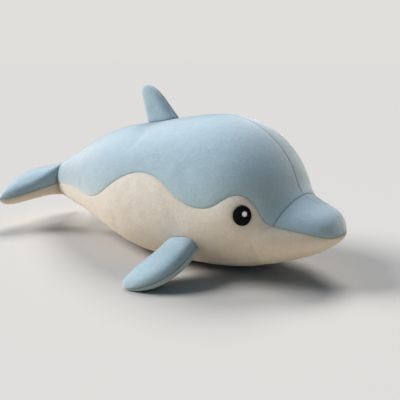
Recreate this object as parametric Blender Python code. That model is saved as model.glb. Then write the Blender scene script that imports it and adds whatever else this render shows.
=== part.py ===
"""Plush dolphin, a stuffed fabric toy that lies on its belly and faces +X.

Each sewn panel is a thin solid of its own, wrapped round a stuffing core. Lengths are in
metres and +Z is up. The toy stands on z = 0 and is mirrored across y = 0, and its origin is
at the bottom centre of its box.
"""
import math

import bmesh
import bpy
import numpy as np
from mathutils import Vector
from mathutils.bvhtree import BVHTree

# Body, from the seam that joins the tail fluke to the front of the beak
BODY_LENGTH = 0.377
BODY_HEIGHT = 0.157
BODY_HALF_WIDTH = 0.077

# Fabric, stuffing and the small gaps that keep neighbouring pieces apart
SKIN = 0.0016
SEAM_GAP = 0.0003
STUFFING_GAP = 0.0003
SEAT_GAP = 0.0004

# Back fin, placed by its ring on the body
FIN_RING = 2.93
FIN_LENGTH = 0.0380
FIN_SWEEP = 0.0215
FIN_ROOT_CHORD = 0.0400
FIN_TIP_CHORD = 0.0235
FIN_ROOT_THICKNESS = 0.0200
FIN_TIP_THICKNESS = 0.0120
FIN_BEND = 1.0
FIN_BLUNTNESS = 6

# Flippers, placed by ring and by angle down from the back line
FLIPPER_RING = 3.96
FLIPPER_ANGLE = 124.0
FLIPPER_SLOPE = 23.5
FLIPPER_ROLL = 12.0
FLIPPER_LENGTH = 0.0670
FLIPPER_SWEEP = 0.0215
FLIPPER_ROOT_CHORD = 0.0365
FLIPPER_TIP_CHORD = 0.0560
FLIPPER_ROOT_THICKNESS = 0.0240
FLIPPER_TIP_THICKNESS = 0.0240
FLIPPER_BEND = 2.5
FLIPPER_BLUNTNESS = 4

# Both kinds of fin: how full they are near their edges, and how soon they leave the body's curve
LEAF_FULLNESS = 0.6
LEAF_ROOT_BLEND = 2
LEAF_CAP_SHARES = (0.0, 0.35, 0.7)

# Tail fluke
FLUKE_HALF_SPAN = 0.0720
FLUKE_TIP_BACK = 0.0420
FLUKE_NOTCH_BACK = 0.0460
FLUKE_TRAILING_BULGE = 0.0080
FLUKE_LOBE_THICKNESS = 0.0340
FLUKE_DROOP = 0.0160
FLUKE_DROOP_CURVE = 1.5
FLUKE_EDGE_BACK_CURVE = 1.3
FLUKE_EDGE_OUT_CURVE = 1.7
FLUKE_BLUNTNESS = 5
FLUKE_ROOT_BLEND = 2
FLUKE_SEAM_BLEND = 4

# Eyes
EYE_RING = 5.54
EYE_ANGLE = 83.4
EYE_WIDTH = 0.0168
EYE_HEIGHT = 0.0186
EYE_EDGE = 0.0008
EYE_RISE = 0.0014
GLINT_WIDTH = 0.0044
GLINT_HEIGHT = 0.0052
GLINT_FORWARD = 0.0022
GLINT_UP = 0.0022
GLINT_THICKNESS = 0.0005
EYE_FOOT_SHARES = (0.0, 0.3, 0.6, 0.8, 1.0)
EYE_DOME_SHARES = (1.0, 0.9, 0.7, 0.35, 0.0)

# Tilted rings of the body from the tail seam to the beak: back line and belly line as shares
# of the length and height, then the half width as a share of the widest one
STATIONS = (
    (0.000, 0.522, -0.008, 0.248, 0.156),
    (0.164, 0.726, 0.164, 0.153, 0.532),
    (0.305, 0.866, 0.308, 0.057, 0.818),
    (0.451, 0.930, 0.456, -0.016, 0.975),
    (0.645, 0.994, 0.639, -0.010, 1.000),
    (0.780, 0.898, 0.757, 0.034, 0.935),
    (0.854, 0.701, 0.803, 0.069, 0.785),
    (0.889, 0.541, 0.836, 0.096, 0.701),
    (0.963, 0.465, 0.926, 0.178, 0.455),
    (0.992, 0.382, 0.987, 0.274, 0.234),
)
BEAK_TIP = (1.000, 0.331)
BEAK_RING = 7
TIP_RING = len(STATIONS)

# Seam between the blue back and the cream belly: ring, then degrees down from the back line.
# It waves along the flank, rises over the eye and runs on as the line of the lips.
FLANK_SEAM = (
    (0.00, 101.0), (0.80, 96.0), (1.50, 101.0), (2.10, 94.5), (2.60, 80.5), (3.20, 68.0),
    (3.65, 74.5), (4.00, 87.0), (4.35, 91.0), (4.71, 86.5), (5.09, 74.3), (5.63, 66.4),
    (6.37, 68.5), (7.00, 66.0), (7.50, 67.7), (8.20, 76.0), (10.0, 77.0),
)

# Mesh fineness
RINGS_PER_STATION = 4
BACK_CELLS = 7
BELLY_CELLS = 6
FIN_RINGS = 7
FIN_CELLS = 8
FLUKE_RINGS = 9
FLUKE_CELLS = 14
EYE_CELLS = 18
GLINT_CELLS = 10

BELLY_CROWDING = 1.3
SHARP_ANGLE = 50.0
WELD = 0.000001
STEP = 0.0005

# Limits for slanting places: the least slant of a ray that seats a piece on the body, and the
# largest share of a cell that a seam may be drawn in by
LEAST_SLANT = 0.3
LARGEST_PULL = 0.4

PLUSH_ROUGHNESS = 0.95
FELT_ROUGHNESS = 0.70
THREAD_ROUGHNESS = 0.60
FIBRE_ROUGHNESS = 1.0

BLUE = (0.33, 0.50, 0.58, 1.0)
CREAM = (0.62, 0.52, 0.42, 1.0)
BLACK = (0.012, 0.012, 0.013, 1.0)
WHITE = (0.85, 0.85, 0.84, 1.0)
FIBRE = (0.80, 0.79, 0.76, 1.0)


def clear_scene():
    for item in list(bpy.data.objects):
        bpy.data.objects.remove(item, do_unlink=True)


def make_material(name, colour, roughness):
    material = bpy.data.materials.new(name)
    material.use_nodes = True
    shader = material.node_tree.nodes["Principled BSDF"]
    shader.inputs["Base Color"].default_value = colour
    shader.inputs["Roughness"].default_value = roughness
    shader.inputs["Metallic"].default_value = 0.0
    return material


def spline(knots, values):
    """Natural cubic through the values at the knots, as a function."""
    x = np.array(knots, dtype=float)
    y = np.array(values, dtype=float).reshape(len(x), -1)
    h = np.diff(x)
    system = np.zeros((len(x), len(x)))
    right = np.zeros_like(y)
    system[0, 0] = 1.0
    system[-1, -1] = 1.0
    for i in range(1, len(x) - 1):
        system[i, i - 1:i + 2] = h[i - 1], 2.0 * (h[i - 1] + h[i]), h[i]
        right[i] = 6.0 * ((y[i + 1] - y[i]) / h[i] - (y[i] - y[i - 1]) / h[i - 1])
    bend = np.linalg.solve(system, right)

    def at(u):
        i = int(min(max(np.searchsorted(x, u) - 1, 0), len(h) - 1))
        p = (x[i + 1] - u) / h[i]
        q = (u - x[i]) / h[i]
        curve = ((p ** 3 - p) * bend[i] + (q ** 3 - q) * bend[i + 1]) * h[i] ** 2 / 6.0
        return p * y[i] + q * y[i + 1] + curve

    return at


def body_curves():
    """The closed side outline through the beak tip, and the half width along it."""
    size = np.array([BODY_LENGTH, BODY_HEIGHT])
    back = [row[0:2] for row in STATIONS]
    belly = [row[2:4] for row in STATIONS]
    widths = [row[4] * BODY_HALF_WIDTH for row in STATIONS]
    knots = range(2 * TIP_RING + 1)
    outline = spline(knots, np.array(back + [BEAK_TIP] + belly[::-1]) * size)
    width = spline(knots, widths + [0.0] + [-w for w in widths[::-1]])
    return outline, width


OUTLINE, WIDTH = body_curves()
SEAM_ANGLE = spline([row[0] for row in FLANK_SEAM], [math.radians(row[1]) for row in FLANK_SEAM])


def body_point(ring, angle):
    """Point of the body's surface, angle from the back line, positive on the left side."""
    back = OUTLINE(ring)
    belly = OUTLINE(2 * TIP_RING - ring)
    middle = (back + belly) / 2.0
    x, z = middle + (back - belly) / 2.0 * math.cos(angle)
    y = float(WIDTH(ring)[0]) * math.sin(angle)
    return Vector((x, y, max(z, 0.0)))


def body_normal(ring, angle):
    if ring >= TIP_RING - STEP:
        along = OUTLINE(TIP_RING + STEP) - OUTLINE(TIP_RING - STEP)
        return Vector((-along[1], 0.0, along[0])).normalized()
    behind = body_point(max(ring - STEP, 0.0), angle)
    ahead = body_point(ring + STEP, angle)
    around = body_point(ring, angle + STEP) - body_point(ring, angle - STEP)
    return (ahead - behind).cross(around).normalized()


def off_floor(point, depth):
    """The point, raised where it would lie less than the depth above the floor."""
    return Vector((point.x, point.y, max(point.z, depth)))


def body_layer(ring, angle, depth):
    return off_floor(body_point(ring, angle) - body_normal(ring, angle) * depth, depth)


def spaced(start, end, cells):
    return [start + (end - start) * i / cells for i in range(cells + 1)]


def body_rings(start, end):
    return spaced(start, end, (end - start) * RINGS_PER_STATION)


def back_angles(ring):
    return spaced(0.0, float(SEAM_ANGLE(ring)[0]), BACK_CELLS)


def belly_angles(ring):
    """Angles from the left seam under the belly to the right one, closest at the flat bottom."""
    seam = float(SEAM_ANGLE(ring)[0])
    shares = [(1.0 - u) ** BELLY_CROWDING for u in spaced(0.0, 1.0, BELLY_CELLS)]
    left = [math.pi - (math.pi - seam) * share for share in shares]
    return left + [2.0 * math.pi - angle for angle in left[-2::-1]]


def right_angles(ring):
    return [-angle for angle in back_angles(ring)[::-1]]


def around_angles(ring):
    """One whole ring of angles, made of those of the panels."""
    return back_angles(ring)[:-1] + belly_angles(ring) + right_angles(ring)[1:-1]


def layer_rows(rings, angles, depth):
    return [[body_layer(ring, angle, depth) for angle in angles(ring)] for ring in rings]


def pulled(point, towards, distance):
    """The point moved a distance towards another, as far as the cell between them allows."""
    way = towards - point
    if way.length < WELD:
        return point.copy()
    return point + way * min(distance / way.length, LARGEST_PULL)


def inset(rows, first, last):
    """Draws the side seams of a panel in, and its first and last rows where asked."""
    half = SEAM_GAP / 2.0
    rows = [list(row) for row in rows]
    if first:
        rows[0] = [pulled(a, b, half) for a, b in zip(rows[0], rows[1])]
    if last:
        rows[-1] = [pulled(a, b, half) for a, b in zip(rows[-1], rows[-2])]
    for row in rows:
        row[0], row[-1] = pulled(row[0], row[1], half), pulled(row[-1], row[-2], half)
    return rows


def strip(mesh, lower, upper):
    """Triangles between two rows, all split the same way so that stacked layers stay parallel."""
    for i in range(len(lower) - 1):
        mesh.faces.new((lower[i], lower[i + 1], upper[i + 1]))
        mesh.faces.new((lower[i], upper[i + 1], upper[i]))


def finish(mesh, name, material, collection):
    """Welds the grid's collapsed ends, turns its faces out and makes the object."""
    bmesh.ops.remove_doubles(mesh, verts=mesh.verts, dist=WELD)
    bmesh.ops.recalc_face_normals(mesh, faces=mesh.faces)
    if mesh.calc_volume(signed=True) < 0.0:
        bmesh.ops.reverse_faces(mesh, faces=mesh.faces)
    data = bpy.data.meshes.new(name)
    mesh.to_mesh(data)
    mesh.free()
    data.shade_smooth()
    data.set_sharp_from_angle(angle=math.radians(SHARP_ANGLE))
    data.materials.append(material)
    item = bpy.data.objects.new(name, data)
    collection.objects.link(item)
    return item


def make_panel(name, outer, inner, material, collection):
    """A sewn panel: the grids of its outer and inner side, joined along their four edges."""
    mesh = bmesh.new()
    out = [[mesh.verts.new(point) for point in row] for row in outer]
    lining = [[mesh.verts.new(point) for point in row] for row in inner]
    for sheet in (out, lining):
        for a, b in zip(sheet, sheet[1:]):
            strip(mesh, a, b)
    for end in (0, -1):
        strip(mesh, out[end], lining[end])
        strip(mesh, [row[end] for row in out], [row[end] for row in lining])
    return finish(mesh, name, material, collection)


def make_core(name, rows, material, collection):
    """A closed solid from whole rings. An end ring that isn't a single point gets a cap."""
    mesh = bmesh.new()
    rings = [[mesh.verts.new(point) for point in row] for row in rows]
    for a, b in zip(rings, rings[1:]):
        strip(mesh, a + a[:1], b + b[:1])
    for ring, source in ((rings[0], rows[0]), (rings[-1], rows[-1])):
        if (source[0] - source[len(source) // 2]).length > WELD:
            mesh.faces.new(ring)
    return finish(mesh, name, material, collection)


def body_panel(name, rings, angles, ends, material, collection):
    outer = inset(layer_rows(rings, angles, 0.0), *ends)
    inner = inset(layer_rows(rings, angles, SKIN), *ends)
    make_panel(name, outer, inner, material, collection)


def make_body(paint, collection):
    back = body_rings(0, BEAK_RING)
    beak = body_rings(BEAK_RING, TIP_RING)
    for word, angles in (("left", back_angles), ("right", right_angles)):
        body_panel("back_panel_" + word, back, angles, (False, True), paint["blue"], collection)
        body_panel("beak_panel_" + word, beak, angles, (True, True), paint["blue"], collection)
    whole = body_rings(0, TIP_RING)
    body_panel("belly_panel", whole, belly_angles, (False, True), paint["cream"], collection)
    core = layer_rows(whole, around_angles, SKIN + STUFFING_GAP)
    make_core("body_stuffing", core, paint["fibre"], collection)


def body_tree():
    """The body's outside as facets, which the fins and eyes are seated on."""
    rows = layer_rows(body_rings(0, TIP_RING), around_angles, 0.0)
    count = len(rows[0])
    points = [point for row in rows for point in row]
    faces = []
    for i in range(len(rows) - 1):
        for j in range(count):
            k = (j + 1) % count
            a, b, c, d = i * count + j, i * count + k, (i + 1) * count + k, (i + 1) * count + j
            faces += [(a, b, c), (a, c, d)]
    return BVHTree.FromPolygons(points, faces)


def seat(tree, point, direction, gap):
    """Where a ray from outside meets the body, lifted off it by the gap."""
    hit, normal = tree.ray_cast(point, direction)[0:2]
    return hit - direction * gap / max(abs(normal.dot(direction)), LEAST_SLANT)


class Fin:
    """A stuffed leaf with its root on the body: rings of chord and thickness along an axis."""

    def __init__(self, tree, origin, along, across, sizes, bend, blunt):
        self.tree = tree
        self.origin = origin
        self.along = along
        self.across = across
        self.up = along.cross(across).normalized()
        self.length, self.sweep, self.chords, self.thicknesses = sizes
        self.bend = bend
        self.blunt = blunt

    def section(self, share, angle, depth, scale=1.0):
        """Point of the straight leaf, angle 0 on the leading edge and 90 degrees on top."""
        fade = math.sqrt(max(1.0 - share ** self.blunt, 0.0)) * scale
        chord = self.chords[0] + (self.chords[1] - self.chords[0]) * share
        thickness = self.thicknesses[0] + (self.thicknesses[1] - self.thicknesses[0]) * share
        forward = (chord / 2.0 - depth) * fade * math.cos(angle)
        rise = (thickness / 2.0 - depth) * fade * math.sin(angle)
        rise *= math.sqrt(1.0 + LEAF_FULLNESS * math.cos(angle) ** 2)
        back = self.across * (forward - self.sweep * share ** self.bend)
        return self.origin + self.along * (self.length - depth) * share + back + self.up * rise

    def root(self, angle, depth, scale=1.0):
        start = self.section(0.0, angle, depth, scale)
        return seat(self.tree, start + self.along * self.length, -self.along, SEAT_GAP)

    def point(self, share, angle, depth):
        """The leaf's point, with its root drawn on to the body and its underside on the floor."""
        straight = self.section(share, angle, depth)
        drawn = self.root(angle, depth) - self.section(0.0, angle, depth)
        return off_floor(straight + drawn * (1.0 - share) ** LEAF_ROOT_BLEND, depth)

    def shares(self):
        return [math.sin(math.pi / 2.0 * u) for u in spaced(0.0, 1.0, FIN_RINGS)]

    def half(self, start, depth):
        """Rows of one face between the two edge seams, half a seam gap clear of the middle."""
        lift = self.up * (SEAM_GAP / 2.0 if start == 0.0 else -SEAM_GAP / 2.0)
        angles = spaced(start, start + math.pi, FIN_CELLS)
        rows = []
        for share in self.shares():
            row = [self.point(share, angle, depth) for angle in angles]
            for end in (0, -1):
                row[end] = off_floor(row[end] + lift, depth)
            rows.append([row[0]] * len(row) if share == 1.0 else row)
        return rows

    def core(self, depth):
        angles = spaced(0.0, 2.0 * math.pi, 2 * FIN_CELLS)[:-1]
        rows = [[self.root(angle, depth, scale) for angle in angles] for scale in LEAF_CAP_SHARES]
        return rows + [[self.point(share, angle, depth) for angle in angles] for share in self.shares()]


def make_fin(fin, panels, core, paint, collection):
    """The two panels of a fin, that on its upper side first, and its stuffing."""
    for name, start in zip(panels, (0.0, math.pi)):
        make_panel(name, fin.half(start, 0.0), fin.half(start, SKIN), paint["blue"], collection)
    make_core(core, fin.core(SKIN + STUFFING_GAP), paint["fibre"], collection)


def make_back_fin(tree, paint, collection):
    chords = (FIN_ROOT_CHORD, FIN_TIP_CHORD)
    thicknesses = (FIN_ROOT_THICKNESS, FIN_TIP_THICKNESS)
    sizes = (FIN_LENGTH, FIN_SWEEP, chords, thicknesses)
    forward = Vector((1.0, 0.0, 0.0))
    upward = Vector((0.0, 0.0, 1.0))
    fin = Fin(tree, body_point(FIN_RING, 0.0), upward, forward, sizes, FIN_BEND, FIN_BLUNTNESS)
    panels = ("dorsal_fin_panel_left", "dorsal_fin_panel_right")
    make_fin(fin, panels, "dorsal_fin_stuffing", paint, collection)


def make_flipper(word, side, tree, paint, collection):
    chords = (FLIPPER_ROOT_CHORD, FLIPPER_TIP_CHORD)
    thicknesses = (FLIPPER_ROOT_THICKNESS, FLIPPER_TIP_THICKNESS)
    sizes = (FLIPPER_LENGTH, FLIPPER_SWEEP, chords, thicknesses)
    slope = math.radians(FLIPPER_SLOPE)
    roll = math.radians(FLIPPER_ROLL)
    origin = body_point(FLIPPER_RING, side * math.radians(FLIPPER_ANGLE))
    along = Vector((0.0, side * math.cos(slope), -math.sin(slope)))
    top = Vector((0.0, side * math.sin(slope), math.cos(slope)))
    across = Vector((math.cos(roll), 0.0, 0.0)) + top * math.sin(roll)
    fin = Fin(tree, origin, along, across, sizes, FLIPPER_BEND, FLIPPER_BLUNTNESS)
    panels = ["flipper_upper_panel_" + word, "flipper_lower_panel_" + word]
    if fin.up.z < 0.0:
        panels.reverse()
    make_fin(fin, panels, "flipper_stuffing_" + word, paint, collection)


def ring_point(angle, depth):
    """Point of the tail seam's ring, drawn in by a depth and a seat gap behind the body."""
    back = OUTLINE(0.0)
    belly = OUTLINE(2.0 * TIP_RING)
    middle = (back + belly) / 2.0
    half = (back - belly) / 2.0
    reach = half * (1.0 - depth / np.linalg.norm(half))
    x, z = middle + reach * math.cos(angle)
    y = (float(WIDTH(0.0)[0]) - depth) * math.sin(angle)
    return Vector((x - SEAT_GAP, y, z))


def fluke_point(share, turn, upper, depth):
    """Point of the fluke, share from root to trailing edge, turn from right to left edge."""
    across = math.sin(turn)
    reach = abs(across)
    corner = float(SEAM_ANGLE(0.0)[0])
    seam = ring_point(corner, depth)
    tip = Vector((-FLUKE_TIP_BACK + depth, FLUKE_HALF_SPAN - depth, 0.0))
    edge_x = seam.x + (tip.x - seam.x) * share ** FLUKE_EDGE_BACK_CURVE
    edge_y = seam.y + (tip.y - seam.y) * (1.0 - (1.0 - share) ** FLUKE_EDGE_OUT_CURVE)
    middle_x = seam.x + (depth - FLUKE_NOTCH_BACK) * share
    bulge = FLUKE_TRAILING_BULGE * share * math.sin(math.pi * reach)
    x = middle_x * (1.0 - reach ** 2) + edge_x * reach ** 2 - bulge
    y = across * edge_y
    root = ring_point(0.0, depth).z - seam.z if upper else seam.z - ring_point(math.pi, depth).z
    lobe = FLUKE_LOBE_THICKNESS / 2.0 - depth
    height = lobe + (root - lobe) * (1.0 - share) ** FLUKE_ROOT_BLEND
    height *= math.sqrt(1.0 - share ** FLUKE_BLUNTNESS)
    height *= math.cos(turn) * math.sqrt(1.0 + share * across ** 2)
    droop = FLUKE_DROOP * (abs(y) / FLUKE_HALF_SPAN) ** FLUKE_DROOP_CURVE
    point = Vector((x, y, seam.z - droop + (height if upper else -height)))
    angle = turn / (math.pi / 2.0) * corner
    if not upper:
        angle = math.copysign(math.pi - (math.pi - corner) * abs(turn) / (math.pi / 2.0), turn)
    flat = Vector((seam.x, seam.y * across, seam.z + (root if upper else -root) * math.cos(turn)))
    return point + (ring_point(angle, depth) - flat) * (1.0 - share) ** FLUKE_SEAM_BLEND


def fluke_sheet(upper, depth, lift):
    """Rows of the fluke's upper or lower side. The lift keeps its edge off the other side's."""
    rows = []
    for share in [math.sin(math.pi / 2.0 * u) for u in spaced(0.0, 1.0, FLUKE_RINGS)]:
        turns = spaced(-math.pi / 2.0, math.pi / 2.0, FLUKE_CELLS)
        turns = turns if upper else turns[::-1]
        row = [fluke_point(share, turn, upper, depth) for turn in turns]
        if share == 1.0:
            row = [point + Vector((0.0, 0.0, lift)) for point in row]
        else:
            row[0].z += lift
            row[-1].z += lift
        rows.append(row)
    return rows


def make_fluke(paint, collection):
    half = SEAM_GAP / 2.0
    for word, upper, lift, colour in (("upper", True, half, "blue"), ("lower", False, -half, "cream")):
        outer = fluke_sheet(upper, 0.0, lift)
        inner = fluke_sheet(upper, SKIN, lift)
        make_panel("fluke_panel_" + word, outer, inner, paint[colour], collection)
    top = fluke_sheet(True, SKIN + STUFFING_GAP, 0.0)
    bottom = fluke_sheet(False, SKIN + STUFFING_GAP, 0.0)
    rings = [a + b[1:-1] for a, b in zip(top, bottom)]
    make_core("fluke_stuffing", rings, paint["fibre"], collection)


def disc_rows(spot, levels, cells):
    """Rings of a disc: each level is a share of its radius and a height above the body."""
    turns = spaced(0.0, 2.0 * math.pi, cells)[:-1]
    return [[spot(share * math.cos(turn), share * math.sin(turn), height) for turn in turns]
            for share, height in levels]


def make_eye(word, side, tree, paint, collection):
    """A domed oval on the cream panel, and the small white glint that lies on it."""
    angle = side * math.radians(EYE_ANGLE)
    centre = body_point(EYE_RING, angle)
    normal = body_normal(EYE_RING, angle)
    forward = Vector((1.0, 0.0, 0.0))
    forward = (forward - normal * forward.dot(normal)).normalized()
    up = normal.cross(forward) * side
    up = up if up.z > 0.0 else -up

    def dome(x, y):
        share = min((x / (EYE_WIDTH / 2.0)) ** 2 + (y / (EYE_HEIGHT / 2.0)) ** 2, 1.0)
        return SEAT_GAP + EYE_EDGE + EYE_RISE * math.sqrt(1.0 - share)

    def place(x, y, height):
        start = centre + forward * x + up * y + normal * EYE_WIDTH
        return seat(tree, start, -normal, 0.0) + normal * height

    def eye_spot(x, y, height):
        across, rise = x * EYE_WIDTH / 2.0, y * EYE_HEIGHT / 2.0
        return place(across, rise, SEAT_GAP if height == 0.0 else dome(across, rise))

    def glint_spot(x, y, height):
        across = GLINT_FORWARD + x * GLINT_WIDTH / 2.0
        rise = GLINT_UP + y * GLINT_HEIGHT / 2.0
        return place(across, rise, dome(across, rise) + SEAT_GAP + height)

    levels = [(share, 0.0) for share in EYE_FOOT_SHARES]
    levels += [(share, 1.0) for share in EYE_DOME_SHARES]
    make_core("eye_" + word, disc_rows(eye_spot, levels, EYE_CELLS), paint["black"], collection)
    levels = [(0.0, 0.0), (1.0, 0.0), (1.0, GLINT_THICKNESS), (0.0, GLINT_THICKNESS)]
    make_core("eye_glint_" + word, disc_rows(glint_spot, levels, GLINT_CELLS), paint["white"], collection)


def centre_on_origin(collection):
    """Moves every piece so that the origin is at the bottom centre of the whole box."""
    spread = [vertex.co.x for item in collection.objects for vertex in item.data.vertices]
    for item in collection.objects:
        item.location.x = -(min(spread) + max(spread)) / 2.0


def main():
    clear_scene()
    collection = bpy.data.collections.new("plush_dolphin")
    bpy.context.scene.collection.children.link(collection)
    paint = {
        "blue": make_material("blue_plush", BLUE, PLUSH_ROUGHNESS),
        "cream": make_material("cream_plush", CREAM, PLUSH_ROUGHNESS),
        "black": make_material("black_felt", BLACK, FELT_ROUGHNESS),
        "white": make_material("white_thread", WHITE, THREAD_ROUGHNESS),
        "fibre": make_material("stuffing_fibre", FIBRE, FIBRE_ROUGHNESS),
    }
    make_body(paint, collection)
    tree = body_tree()
    make_back_fin(tree, paint, collection)
    make_fluke(paint, collection)
    for word, side in (("left", 1.0), ("right", -1.0)):
        make_flipper(word, side, tree, paint, collection)
        make_eye(word, side, tree, paint, collection)
    centre_on_origin(collection)


main()
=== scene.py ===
"""Plush dolphin: sewn fabric panels round their stuffing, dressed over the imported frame.

The surfaces follow the part's own rings and angles at a finer step. A cloth simulation swells each
form between its seams, and code adds what the needle does: edges rolled into the seams, valleys
beside them, hollows round the eyes and a crease at the mouth. Lengths are in metres, +Z is up and
the toy faces +X.
"""
import math

import bmesh
import bpy
import numpy as np
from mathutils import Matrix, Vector, kdtree, noise
from mathutils.bvhtree import BVHTree


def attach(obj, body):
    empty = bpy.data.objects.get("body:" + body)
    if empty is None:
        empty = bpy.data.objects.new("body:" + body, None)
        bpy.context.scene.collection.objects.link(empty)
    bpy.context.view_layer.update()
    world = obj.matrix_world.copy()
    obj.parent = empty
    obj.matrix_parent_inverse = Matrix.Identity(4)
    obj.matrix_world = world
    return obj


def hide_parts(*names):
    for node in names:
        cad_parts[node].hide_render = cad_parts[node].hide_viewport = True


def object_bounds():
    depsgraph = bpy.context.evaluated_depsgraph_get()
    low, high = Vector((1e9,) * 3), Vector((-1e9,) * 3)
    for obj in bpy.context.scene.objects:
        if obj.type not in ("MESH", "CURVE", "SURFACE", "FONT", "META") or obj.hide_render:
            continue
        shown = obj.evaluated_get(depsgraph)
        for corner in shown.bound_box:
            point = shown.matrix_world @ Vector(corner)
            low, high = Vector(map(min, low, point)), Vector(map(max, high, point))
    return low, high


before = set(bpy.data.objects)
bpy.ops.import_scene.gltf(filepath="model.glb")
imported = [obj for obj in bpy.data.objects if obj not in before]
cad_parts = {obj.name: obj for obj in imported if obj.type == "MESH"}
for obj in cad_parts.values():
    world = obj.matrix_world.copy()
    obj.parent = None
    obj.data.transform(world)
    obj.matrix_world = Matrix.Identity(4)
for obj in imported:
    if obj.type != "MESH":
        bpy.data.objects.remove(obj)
CAD_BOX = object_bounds()

# ---- The part's own sizes ----
BODY_LENGTH = 0.377
BODY_HEIGHT = 0.157
BODY_HALF_WIDTH = 0.077
# From the tail seam, where the part's own x starts, to the frame's x.
SHIFT = CAD_BOX[1].x - BODY_LENGTH
SKIN = 0.0016

# Rings of the body: back x and z, belly x and z, and half-width, as shares of the sizes above.
STATIONS = (
    (0.000, 0.522, -0.008, 0.248, 0.156),
    (0.164, 0.726, 0.164, 0.153, 0.532),
    (0.305, 0.866, 0.308, 0.057, 0.818),
    (0.451, 0.930, 0.456, -0.016, 0.975),
    (0.645, 0.994, 0.639, -0.010, 1.000),
    (0.780, 0.898, 0.757, 0.034, 0.935),
    (0.854, 0.701, 0.803, 0.069, 0.785),
    (0.889, 0.541, 0.836, 0.096, 0.701),
    (0.963, 0.465, 0.926, 0.178, 0.455),
    (0.992, 0.382, 0.987, 0.274, 0.234),
)
BEAK_TIP = (1.000, 0.331)
BEAK_RING = 7.0
TIP_RING = 10.0
# Rings and degrees from the top, of the seam between blue and cream and of the crease at the mouth.
FLANK_SEAM = (
    (0.00, 101.0), (0.80, 96.0), (1.50, 101.0), (2.10, 94.5), (2.60, 80.5), (3.20, 68.0),
    (3.65, 74.5), (4.00, 87.0), (4.35, 91.0), (4.71, 86.5), (5.09, 74.3), (5.63, 66.4),
    (6.37, 68.5), (7.00, 66.0), (7.50, 67.7), (8.20, 76.0), (10.0, 77.0),
)
SMILE = ((6.93, 68.5), (6.80, 72.0), (6.62, 77.5), (6.42, 83.5))

EYE_RING, EYE_ANGLE = 5.54, 83.4
EYE_WIDTH, EYE_HEIGHT = 0.0168, 0.0186
GLINT_WIDTH, GLINT_HEIGHT = 0.0044, 0.0052
GLINT_FORWARD, GLINT_UP = 0.0022, 0.0022
GLINT_RISE = 0.0004


# ---- Curves and grids ----
FLOOR_SOFTNESS = 0.0010
ARC_POINTS = 2001


def spline(knots, values):
    """Natural cubic through the values at the knots, as a function of an array."""
    x = np.array(knots, dtype=float)
    y = np.array(values, dtype=float).reshape(len(x), -1)
    h = np.diff(x)
    system = np.zeros((len(x), len(x)))
    right = np.zeros_like(y)
    system[0, 0] = system[-1, -1] = 1.0
    for i in range(1, len(x) - 1):
        system[i, i - 1:i + 2] = h[i - 1], 2.0 * (h[i - 1] + h[i]), h[i]
        right[i] = 6.0 * ((y[i + 1] - y[i]) / h[i] - (y[i] - y[i - 1]) / h[i - 1])
    bend = np.linalg.solve(system, right)

    def at(u):
        u = np.asarray(u, dtype=float)
        i = np.clip(np.searchsorted(x, u) - 1, 0, len(h) - 1)
        step = h[i][..., None]
        p = (x[i + 1] - u)[..., None] / step
        q = (u - x[i])[..., None] / step
        curve = ((p ** 3 - p) * bend[i] + (q ** 3 - q) * bend[i + 1]) * step ** 2 / 6.0
        return p * y[i] + q * y[i + 1] + curve

    return at


def body_curves():
    size = np.array([BODY_LENGTH, BODY_HEIGHT])
    back = [row[0:2] for row in STATIONS]
    belly = [row[2:4] for row in STATIONS]
    widths = [row[4] * BODY_HALF_WIDTH for row in STATIONS]
    knots = range(2 * int(TIP_RING) + 1)
    outline = spline(knots, np.array(back + [BEAK_TIP] + belly[::-1]) * size)
    width = spline(knots, widths + [0.0] + [-w for w in widths[::-1]])
    return outline, width


OUTLINE, WIDTH = body_curves()
SEAM_ANGLE = spline([row[0] for row in FLANK_SEAM], np.radians([row[1] for row in FLANK_SEAM]))


def on_floor(z, softness=FLOOR_SOFTNESS):
    """Heights with a soft stop at the floor."""
    return (z + np.sqrt(z ** 2 + softness ** 2)) / 2.0


def body_surface(ring, angle):
    ring, angle = np.broadcast_arrays(ring, angle)
    back = OUTLINE(ring)
    belly = OUTLINE(2.0 * TIP_RING - ring)
    xz = (back + belly) / 2.0 + (back - belly) / 2.0 * np.cos(angle)[..., None]
    y = WIDTH(ring)[..., 0] * np.sin(angle)
    return np.stack((xz[..., 0] + SHIFT, y, on_floor(xz[..., 1])), -1)


def ring_point(ring, angle):
    return body_surface(np.array(ring), np.array(angle))


def eased(count, tight=0.7):
    """Shares from 0 to 1, closer together at both ends."""
    t = np.linspace(0.0, 1.0, count)
    return t - tight * np.sin(2.0 * math.pi * t) / (2.0 * math.pi)


def arc_rings():
    """Rings against the distance along the body, as the mean of its side, top and underside."""
    rings = np.linspace(0.0, TIP_RING, ARC_POINTS)
    lines = [body_surface(rings, np.full_like(rings, angle)) for angle in (math.pi / 2.0, 0.0, math.pi)]
    gaps = [np.linalg.norm(np.diff(line, axis=0), axis=1) for line in lines]
    return np.concatenate(([0.0], np.cumsum(sum(gaps) / len(gaps)))), rings


ARC, ARC_RINGS = arc_rings()


def rings_between(start, end, count):
    a, b = np.interp((start, end), ARC_RINGS, ARC)
    return np.interp(a + (b - a) * eased(count), ARC, ARC_RINGS)


def unit(v):
    return v / np.maximum(np.linalg.norm(v, axis=-1, keepdims=True), 1e-12)


def grid_normals(points, centre):
    """Outward normals of a grid, with one normal for a row that is a single point."""
    along = np.gradient(points, axis=0)
    across = np.gradient(points, axis=1)
    normals = np.cross(along, across)
    flat = np.linalg.norm(normals, axis=-1)
    normals = unit(normals)
    for row, beside in ((0, 1), (-1, -2)):
        if flat[row].max() < 1e-3 * flat[beside].max() + 1e-15:
            normals[row] = unit(normals[beside].mean(axis=0))
    turn = np.sign(np.sum(normals * (points - np.array(centre))))
    return normals * (turn if turn else 1.0)


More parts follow.
